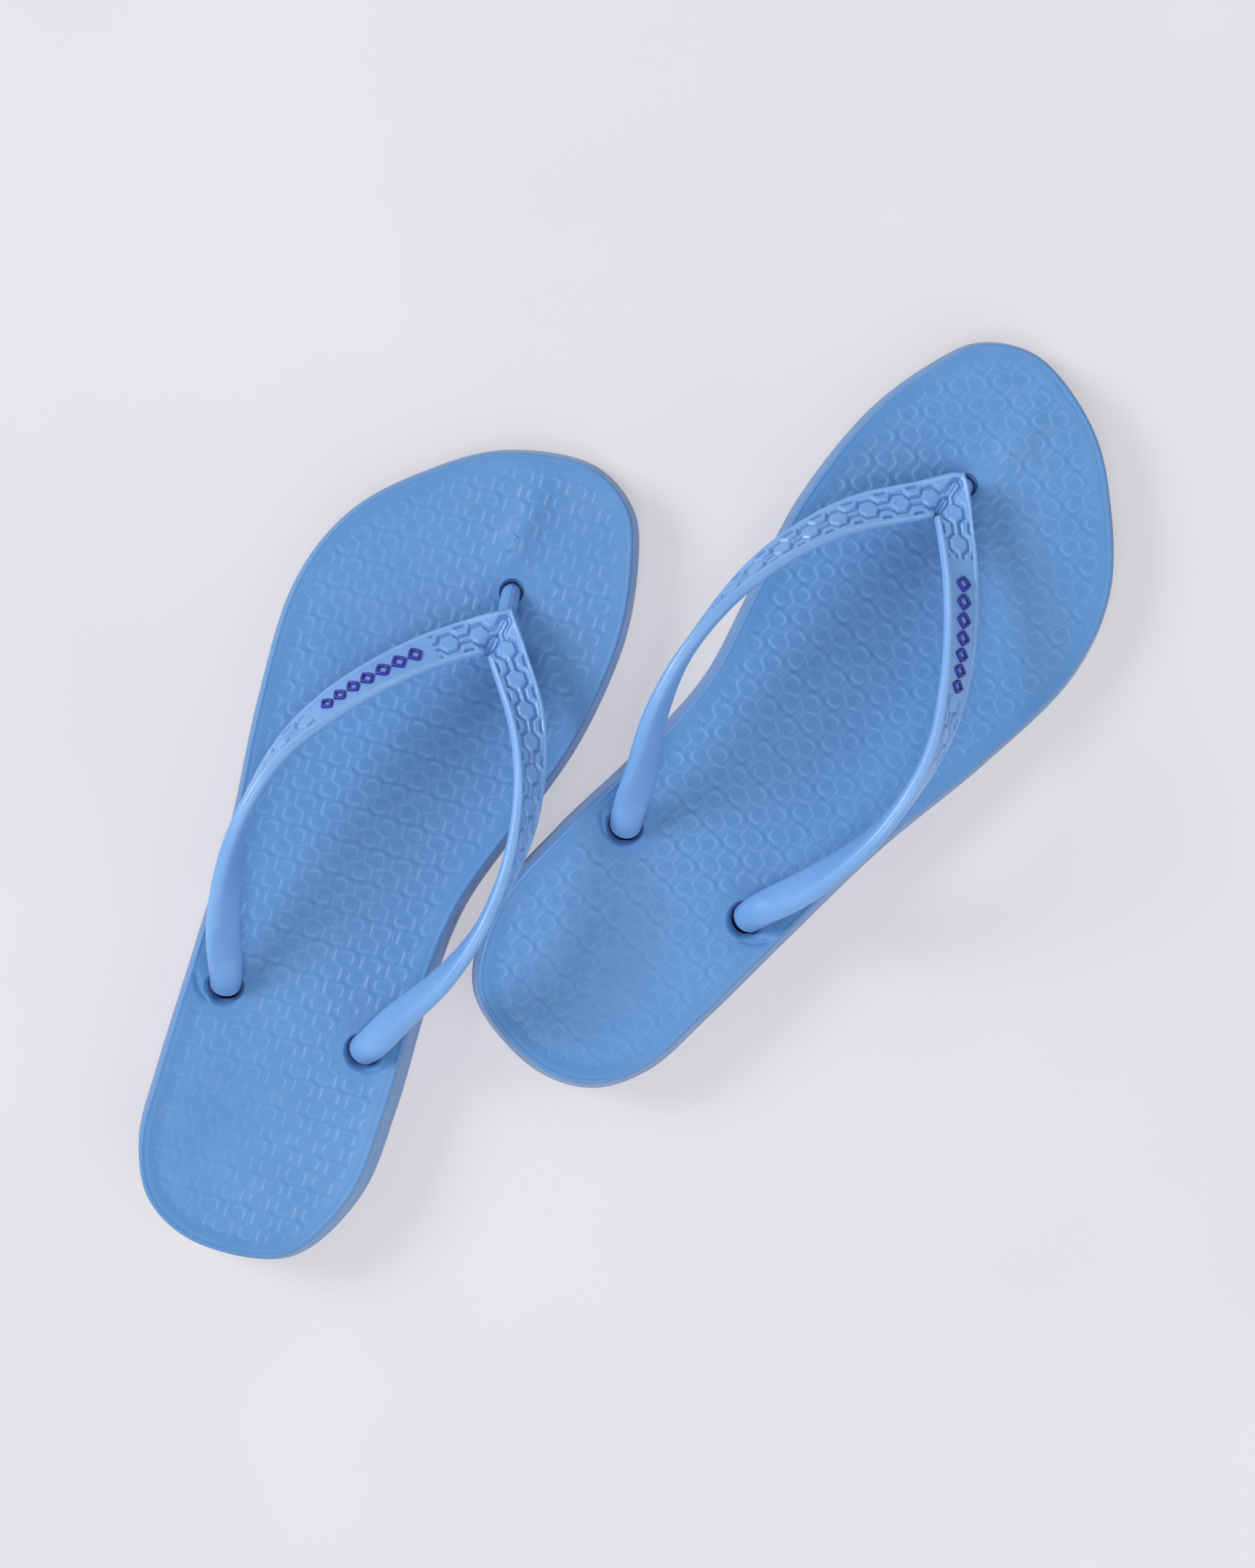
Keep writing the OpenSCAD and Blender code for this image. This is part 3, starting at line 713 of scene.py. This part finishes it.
def build_arm(arm, hand, side):
    """Rings of points down an arm from the V, with their marks: pale edges of rubbing and painted
    highlight, and painted shade in the grooves.
    """
    i_fine, length = arm_lengths(arm, SETTLE[side])
    s = np.linspace(0, length[-1], int(length[-1] / RING_SPACING))
    i = np.interp(s, length, i_fine)
    c, across, face, along, square_on, wide, thick, finger = arm_frames(arm, i, hand, side)

    def run_out(run):
        """0 up to run[0] before the arm's end, and 1 from run[1] further on."""
        return smooth((s - s[-1] + run[0]) / run[1])[:, None]

    blend = smooth(finger / FINGER_FULL_AT)[:, None]
    x, top = (row[None] for row in section_ring())
    ax = np.abs(x)
    # The ribbon's section, flat in front with rounded rims, and the finger's oval one
    beyond = np.clip(ax - FLAT_HALF, 0, 1) / (0.5 - FLAT_HALF)
    rim = WIDEST + (0.5 - WIDEST) * np.sqrt(np.clip(1 - beyond ** 2, 0, 1))
    under = WIDEST - (0.5 + WIDEST) * np.clip(1 - (2 * ax) ** 3, 0, 1) ** BACK_POWER
    power = mix(FINGER_POWER, 1, run_out(OVAL_RUN))
    oval = 0.5 * np.clip(1 - (2 * ax) ** (2 / power), 0, 1) ** (power / 2)
    oval = oval * np.where(top, 1, -mix(1, TIP_BULGE, run_out(BULGE_RUN)))
    y = mix(np.where(top, rim, under), oval, blend)
    run = x * wide[:, None] * mix(1, TIP_TAPER, run_out(NARROW_RUN))
    base = c[:, None] + across[:, None] * run[..., None]
    # Places on the ribbon as the relief measures them
    slant = (across * along).sum(1)[:, None]
    square = (across * square_on).sum(1)[:, None]
    mitre = unit(MITRE)
    h = (base - c[0]) @ mitre
    q = np.linalg.norm((base - c[0])[..., :2] - h[..., None] * mitre[:2], axis=-1)
    # The relief's depth, its pale edge marks of rubbing and painted highlight, and its painted
    # groove shade
    marks = ribbon_relief(s[:, None] + run * slant, run * square, h, q, hand > 0)
    depth, edge, groove = (np.where(top, mark, 0) for mark in marks)
    # A fine flash line on the outermost point of both edges, where the mould's halves met
    flash = np.where(ax > 0.4995, FLASH_W, 0) * np.sign(x)
    points = (base + across[:, None] * flash[..., None]
              + face[:, None] * (y * thick[:, None] - depth)[..., None])
    # A pale line along each rim of the face: painted highlight and rubbing
    rim_mark = np.exp(-((ax - RIM_MARK_AT) / RIM_MARK_W) ** 2) * top * (1 - blend)
    return points, np.clip(edge + 0.8 * rim_mark + 2 * np.abs(flash), 0, 1), groove


def shank(at, turn, hand):
    """The finger's last ring, inside its plug."""
    across = np.array([math.cos(turn), math.sin(turn), 0]) * hand
    face = np.array([-math.sin(turn), math.cos(turn), 0])
    x, top = section_ring()
    y = 0.5 * np.sqrt(np.clip(1 - (2 * x) ** 2, 0, 1)) * np.where(top, 1, -TIP_BULGE)
    centre = np.array([at[0], at[1], PLUG_Z + PLUG_T / 2])
    oval = np.outer(x * FINGER_W * TIP_TAPER, across) + np.outer(y * FINGER_T, face)
    return (centre + oval)[None]


def plug(at, side):
    """A solid of revolution from the plug's profile, bottom to top."""
    rings = [np.c_[circle(at, r), np.full(ROUND_N, PLUG_Z + z)] for r, z in PLUG_PROFILE]
    return capped_tube("plug", np.array(rings), side)


def post_rings(settle):
    """The toe post: up through its hole, round a bend, and on to the V."""
    foot = np.array([POST_AT[0], POST_AT[1] - POST_SLANT, rim_z(POST_AT[1]) - POST_FOOT_DOWN])
    tip = np.array([V_AT[0], V_AT[1] - settle, V_HEIGHT - POST_TIP_DOWN]) + MITRE * POST_TIP_ON
    away = tip[:2] - foot[:2]
    heading = np.r_[away / np.linalg.norm(away), 0]
    aside = np.array([-heading[1], heading[0], 0])
    beyond = np.linalg.norm(away) - POST_BEND_R
    rise = tip[2] - foot[2]
    reach = math.sqrt(beyond ** 2 + rise ** 2 - POST_BEND_R ** 2)
    bend = math.atan2(beyond, rise) + math.atan2(POST_BEND_R, reach)
    # The path: centres and how far the post leans at each
    root = np.array([POST_AT[0], POST_AT[1], PLUG_Z + POST_ROOT_UP])
    path = [(mix(root, foot, w), 0) for w in np.linspace(0, 1, HOLE_STEPS)]
    for t in np.linspace(0, bend, BEND_STEPS)[1:]:
        out = heading * (1 - math.cos(t)) + np.array([0, 0, math.sin(t)])
        path.append((foot + out * POST_BEND_R, t))
    last = path[-1][0]
    path += [(mix(last, tip, w), bend) for w in np.linspace(0, 1, LEAN_STEPS)[1:]]
    a = angles(POST_N)
    back_ridge = np.exp(-((a - math.pi) / RIDGE_W) ** 2)
    front_ridge = np.exp(-(np.sin(a / 2) / (RIDGE_W / 2)) ** 2)
    ridges = RIDGE_H * (back_ridge + front_ridge)
    rings = []
    for k, (centre, lean) in enumerate(path):
        ahead = heading * math.cos(lean) - np.array([0, 0, math.sin(lean)])
        to_end = (k - len(path) + POST_FLARE_RINGS) / POST_FLARE_RINGS
        r = mix(POST_D, POST_WAIST, smooth(k / POST_WAIST_RINGS)) / 2
        r = r * (1 + POST_FLARE * smooth(to_end)) + ridges
        rings.append(centre + np.outer(np.cos(a) * r, ahead) + np.outer(np.sin(a) * r, aside))
    return np.array(rings)


def build_strap(side):
    """One moulding: arm, V, arm and their shanks in one sweep, joined to the post and plugs."""
    outer, outer_edge, outer_groove_shade = build_arm(OUTER_ARM, 1, side)
    inner, inner_edge, inner_groove_shade = build_arm(INNER_ARM, -1, side)
    # At the V both arms' rings lie across the mitre line, so the inner arm's follow on
    down_out = shank(OUTER_SLOT_AT, OUTER_SLOT_TURN, 1)
    down_in = shank(INNER_SLOT_AT, INNER_SLOT_TURN, -1)
    steps = np.linspace(0, 1, SHANK_STEPS)[1:-1, None, None]
    rings = np.concatenate([
        down_out, mix(down_out, outer[-1:], steps), outer[:0:-1],
        inner, mix(inner[-1:], down_in, steps), down_in,
    ])
    plain = np.zeros((1 + len(steps), rings.shape[1]))
    edge = np.concatenate([plain, outer_edge[:0:-1], inner_edge, plain])
    groove = np.concatenate([plain, outer_groove_shade[:0:-1], inner_groove_shade, plain])
    # The edge marks paint paler rubbed and highlighted edges, and the groove marks paint shade in
    # the grooves
    values = {"edge": edge.ravel(), "groove": groove.ravel()}
    strap = capped_tube(f"{side}_strap_moulded", rings, side, values)
    parts = [capped_tube("post", post_rings(SETTLE[side]), side)]
    parts += [plug(at, side) for at in (POST_AT, OUTER_SLOT_AT, INNER_SLOT_AT)]
    boolean(strap, parts, "UNION")
    return strap


# ---- Trim

# A link's section from its outer edge to its inner one: shares of its width and height
LINK_PROFILE = [(0.0, 0.0), (0.0, 0.62), (0.07, 0.86), (0.24, 1.0), (0.76, 1.0), (0.93, 0.86),
                (1.0, 0.62), (1.0, 0.0)]
LINK_SINK, LINK_TOP_SHARE = 0.1, 0.75
# How much shorter and narrower the link's opening is, in widths of its line
LINK_OPENING = 2.6
DIAMOND_POWER, DIAMOND_N = 1.22, 96


def diamond(long, wide):
    """A diamond with softened corners."""
    a = angles(DIAMOND_N)
    c, s = np.cos(a), np.sin(a)
    r = (np.abs(c) ** DIAMOND_POWER + np.abs(s) ** DIAMOND_POWER) ** (-1 / DIAMOND_POWER)
    return np.c_[c * r * long / 2, s * r * wide / 2]


def build_trim(side):
    """Seven diamond links that stand on the plain panel of the outer arm."""
    run = (LINK_TO - LINK_FROM) * ARM_RINGS
    foot = RIBBON_T * 0.5 - PANEL_D - TRIM_PANEL_D - LINK_SINK
    top = RIBBON_T * 0.5 + LINK_H * LINK_TOP_SHARE
    wide = LINK_SHARE * RIBBON_W
    points, faces = [], []
    for k in range(LINK_N):
        mid = LINK_FROM * ARM_RINGS + run * (k + 0.5) / LINK_N
        ends = arm_centres(OUTER_ARM, mid + np.array([-0.5, 0.5]) * run / LINK_N, SETTLE[side])
        pitch = np.linalg.norm(ends[1] - ends[0])
        rings_per_mm = run / LINK_N / pitch
        long = pitch - LINK_GAP
        outer = diamond(long, wide)
        inner = diamond(long - LINK_OPENING * LINK_LINE, wide - LINK_OPENING * LINK_LINE)
        start = sum(len(p) for p in points)
        for share, height in LINK_PROFILE:
            loop = mix(outer, inner, share)
            i = mid + loop[:, 0] * rings_per_mm
            c, across, face = arm_frames(OUTER_ARM, i, 1, side)[:3]
            points.append(c + across * loop[:, 1:2] + face * mix(foot, top, height))
        n, rows = len(outer), len(LINK_PROFILE)
        for f in ring_faces(rows + 1, n):
            faces.append([start + v % (rows * n) for v in f])
    return outward(make_object(f"{side}_strap_links", np.vstack(points), faces, side))


# ---- Materials

def srgb(r, g, b):
    """An 8-bit sRGB colour as linear values."""
    c = np.array([r, g, b]) / 255
    return tuple(np.where(c <= 0.04045, c / 12.92, ((c + 0.055) / 1.055) ** 2.4).tolist())


SOLE_DARK, SOLE_LIGHT = srgb(73, 129, 187), srgb(83, 137, 195)
# The pale colour of the sole's edges paints rubbing and highlight together
SOLE_SPECK, SOLE_WORN_AND_GLINT = srgb(122, 160, 212), srgb(140, 180, 226)
STRAP_DARK, STRAP_LIGHT = srgb(107, 157, 216), srgb(119, 167, 224)
# The strap's groove colour is painted shade, and its pale colour paints rubbed edges and highlight
STRAP_GROOVE_SHADE, STRAP_WORN_AND_GLINT = srgb(62, 118, 190), srgb(160, 194, 236)
TRIM_DARK, TRIM_LIGHT = srgb(34, 36, 140), srgb(44, 48, 160)
FLOOR_DARK, FLOOR_LIGHT = srgb(150, 149, 151), srgb(158, 157, 159)
FLOOR_GLOW_COLOUR, FLOOR_GLOW = srgb(252, 250, 255), 0.43
WORLD_COLOUR, WORLD_STRENGTH = srgb(250, 249, 252), 0.38


def material(name):
    """A new material with its node tree and its shader."""
    m = bpy.data.materials.new(name)
    m.use_nodes = True
    tree = m.node_tree
    tree.nodes.clear()
    out = tree.nodes.new("ShaderNodeOutputMaterial")
    shader = tree.nodes.new("ShaderNodeBsdfPrincipled")
    tree.links.new(shader.outputs["BSDF"], out.inputs["Surface"])
    return m, tree, shader


def node(tree, kind, **settings):
    """A new node with the given settings."""
    made = tree.nodes.new(kind)
    for key, value in settings.items():
        setattr(made, key, value)
    return made


def noise(tree, scale, detail=3.0, rough=0.55):
    """Noise over the object's own space, in cells of about 1 / scale metres."""
    coordinates = node(tree, "ShaderNodeTexCoord")
    made = node(tree, "ShaderNodeTexNoise")
    made.inputs["Scale"].default_value = scale
    made.inputs["Detail"].default_value = detail
    made.inputs["Roughness"].default_value = rough
    tree.links.new(coordinates.outputs["Object"], made.inputs["Vector"])
    return made.outputs["Fac"]


def ramp(tree, value, low, high, a=0.3, b=0.7):
    """Maps value from a..b to low..high."""
    made = node(tree, "ShaderNodeMapRange")
    made.inputs["From Min"].default_value = a
    made.inputs["From Max"].default_value = b
    made.inputs["To Min"].default_value = low
    made.inputs["To Max"].default_value = high
    tree.links.new(value, made.inputs["Value"])
    return made.outputs["Result"]


def blend_colour(tree, factor, first, second):
    """Mixes two colours, each a socket or an RGB triple, by a factor's socket."""
    made = node(tree, "ShaderNodeMix", data_type="RGBA")
    # A Mix node has sockets for every data type, and these numbers are the ones for colours
    tree.links.new(factor, made.inputs[0])
    for socket, value in ((made.inputs[6], first), (made.inputs[7], second)):
        if isinstance(value, tuple):
            socket.default_value = (*value, 1)
        else:
            tree.links.new(value, socket)
    return made.outputs[2]


def mark(tree, name, most):
    """One of the mesh's own marks, from 0 to most."""
    fac = node(tree, "ShaderNodeAttribute", attribute_name=name).outputs["Fac"]
    return ramp(tree, fac, 0, most, 0, 1)


def bump(tree, shader, layers):
    """Stacks bump layers of (height socket, distance in metres, strength) on the shader."""
    last = None
    for height, distance, strength in layers:
        made = node(tree, "ShaderNodeBump")
        made.inputs["Distance"].default_value = distance
        made.inputs["Strength"].default_value = strength
        tree.links.new(height, made.inputs["Height"])
        if last is not None:
            tree.links.new(last, made.inputs["Normal"])
        last = made.outputs["Normal"]
    tree.links.new(last, shader.inputs["Normal"])


def sole_material():
    """Matt blue foam rubber, cloudy and speckled, paler on the edges of the pattern and rim, partly
    rubbed and partly painted highlight.
    """
    m, tree, shader = material("moulded_foam_rubber")
    cloud = noise(tree, 28, 4)
    speck = noise(tree, 1500, 2, 0.7)
    grain = noise(tree, 3200, 2, 0.6)
    pores = node(tree, "ShaderNodeTexVoronoi")
    pores.inputs["Scale"].default_value = 1700
    tree.links.new(node(tree, "ShaderNodeTexCoord").outputs["Object"], pores.inputs["Vector"])
    colour = blend_colour(tree, ramp(tree, cloud, 0, 1), SOLE_DARK, SOLE_LIGHT)
    colour = blend_colour(tree, ramp(tree, speck, 0, 0.10, 0.45, 0.75), colour, SOLE_SPECK)
    # Pale edges of the pattern and rim: partly rubbing, partly painted highlight
    colour = blend_colour(tree, mark(tree, "edge", 0.22), colour, SOLE_WORN_AND_GLINT)
    tree.links.new(colour, shader.inputs["Base Color"])
    tree.links.new(ramp(tree, noise(tree, 160, 3), 0.42, 0.58), shader.inputs["Roughness"])
    shader.inputs["Specular IOR Level"].default_value = 0.5
    shader.inputs["Sheen Weight"].default_value = 0.12
    shader.inputs["Sheen Roughness"].default_value = 0.5
    bump(tree, shader, [
        (noise(tree, 240, 3), 0.00012, 0.5),
        (pores.outputs["Distance"], 0.00008, 0.4),
        (grain, 0.00008, 0.6),
    ])
    return m


def strap_material():
    """Smoother and paler rubber, with painted shade in the relief's grooves and paler edges of
    rubbing and painted highlight.
    """
    m, tree, shader = material("moulded_strap_rubber")
    cloud = noise(tree, 45, 3)
    streak = noise(tree, 900, 2, 0.6)
    colour = blend_colour(tree, ramp(tree, cloud, 0, 1), STRAP_DARK, STRAP_LIGHT)
    # Painted shade in the relief's grooves
    colour = blend_colour(tree, mark(tree, "groove", 0.60), colour, STRAP_GROOVE_SHADE)
    # Pale edges: partly rubbing, partly painted highlight
    colour = blend_colour(tree, mark(tree, "edge", 0.30), colour, STRAP_WORN_AND_GLINT)
    colour = blend_colour(tree, ramp(tree, streak, 0, 0.06, 0.5, 0.8), colour, STRAP_WORN_AND_GLINT)
    tree.links.new(colour, shader.inputs["Base Color"])
    tree.links.new(ramp(tree, noise(tree, 210, 3), 0.28, 0.40), shader.inputs["Roughness"])
    shader.inputs["Specular IOR Level"].default_value = 0.5
    shader.inputs["Sheen Weight"].default_value = 0.05
    shader.inputs["Subsurface Weight"].default_value = 0.12
    shader.inputs["Subsurface Radius"].default_value = (0.4, 0.7, 1.0)
    shader.inputs["Subsurface Scale"].default_value = 0.0012
    bump(tree, shader, [(noise(tree, 420, 3), 0.00008, 0.5), (noise(tree, 2600, 2), 0.00003, 0.5)])
    return m


def trim_material():
    """Dark blue paint with a faint coat."""
    m, tree, shader = material("navy_paint")
    colour = blend_colour(tree, ramp(tree, noise(tree, 700, 3), 0, 1), TRIM_DARK, TRIM_LIGHT)
    tree.links.new(colour, shader.inputs["Base Color"])
    tree.links.new(ramp(tree, noise(tree, 1200, 2), 0.30, 0.46), shader.inputs["Roughness"])
    shader.inputs["Coat Weight"].default_value = 0.15
    shader.inputs["Coat Roughness"].default_value = 0.25
    bump(tree, shader, [(noise(tree, 2400, 3), 0.00004, 0.6)])
    return m


def floor_material():
    """Matt pale paper."""
    m, tree, shader = material("paper_floor")
    colour = blend_colour(tree, ramp(tree, noise(tree, 5, 3), 0, 1), FLOOR_DARK, FLOOR_LIGHT)
    tree.links.new(colour, shader.inputs["Base Color"])
    shader.inputs["Roughness"].default_value = 0.85
    shader.inputs["Specular IOR Level"].default_value = 0.2
    # A little light of its own keeps the sandals' shadows faint
    shader.inputs["Emission Color"].default_value = (*FLOOR_GLOW_COLOUR, 1)
    shader.inputs["Emission Strength"].default_value = FLOOR_GLOW
    bump(tree, shader, [(noise(tree, 900, 3), 0.00005, 0.3)])
    return m


# ---- Pieces

def finish_piece(obj, mat, body, replaced):
    """Gives a piece its material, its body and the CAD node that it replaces."""
    obj.data.materials.clear()
    obj.data.materials.append(mat)
    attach(obj, body)
    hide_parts(replaced)


looks = {"sole": sole_material(), "strap": strap_material(), "trim": trim_material()}
left_sole = build_sole()
soles = {"left": left_sole, "right": mirrored(left_sole, "right_sole_moulded")}
for side, sole in soles.items():
    body = f"{side}_sandal"
    finish_piece(sole, looks["sole"], body, f"{side}_sole")
    finish_piece(build_strap(side), looks["strap"], body, f"{side}_strap")
    finish_piece(build_trim(side), looks["trim"], body, f"{side}_strap_trim")

# ---- Floor, light and camera

# In metres, like all of the scene from here on. The floor lies a hair under the soles.
FLOOR_HALF, FLOOR_Z = 6.0, -0.0002
floor_mesh = bpy.data.meshes.new("floor")
corners = [(-1, -1), (1, -1), (1, 1), (-1, 1)]
floor_points = [(x * FLOOR_HALF, y * FLOOR_HALF, FLOOR_Z) for x, y in corners]
floor_mesh.from_pydata(floor_points, [], [(0, 1, 2, 3)])
floor = bpy.data.objects.new("floor", floor_mesh)
bpy.context.scene.collection.objects.link(floor)
floor_mesh.materials.append(floor_material())

world = bpy.data.worlds.new("studio")
bpy.context.scene.world = world
world.use_nodes = True
background = world.node_tree.nodes["Background"]
background.inputs["Color"].default_value = (*WORLD_COLOUR, 1)
background.inputs["Strength"].default_value = WORLD_STRENGTH


def area_light(name, location, target, size, watts, colour):
    """A square light of the given size at a place, aimed at a target."""
    data = bpy.data.lights.new(name, "AREA")
    data.shape = "SQUARE"
    data.size = size
    data.energy = watts
    data.color = colour
    light = bpy.data.objects.new(name, data)
    bpy.context.scene.collection.objects.link(light)
    light.location = location
    light.rotation_euler = (Vector(target) - Vector(location)).to_track_quat("-Z", "Y").to_euler()


area_light("key", (-2.2, -0.4, 1.8), (0, 0, 0), size=1.1, watts=52, colour=(1.0, 0.995, 0.99))
area_light("fill", (2.0, -0.5, 1.7), (0.1, -0.2, 0), size=2.2, watts=23, colour=(0.98, 0.985, 1.0))
area_light("top", (0.1, -0.6, 2.3), (0, 0, 0), size=0.8, watts=14, colour=(1.0, 1.0, 1.0))

# The camera looks straight down from a little over a metre, turned about its own axis
CAMERA_AT = (0.00943, 0.00542, 1.2)
CAMERA_ROLL = math.radians(31.4)
camera_data = bpy.data.cameras.new("camera")
camera_data.lens = 96
camera_data.sensor_width = 36
camera_data.clip_start = 0.05
camera_data.clip_end = 50
camera = bpy.data.objects.new("camera", camera_data)
camera.location = CAMERA_AT
camera.rotation_euler = (0, 0, CAMERA_ROLL)
bpy.context.scene.collection.objects.link(camera)
bpy.context.scene.camera = camera
bpy.context.scene.view_settings.view_transform = "Standard"
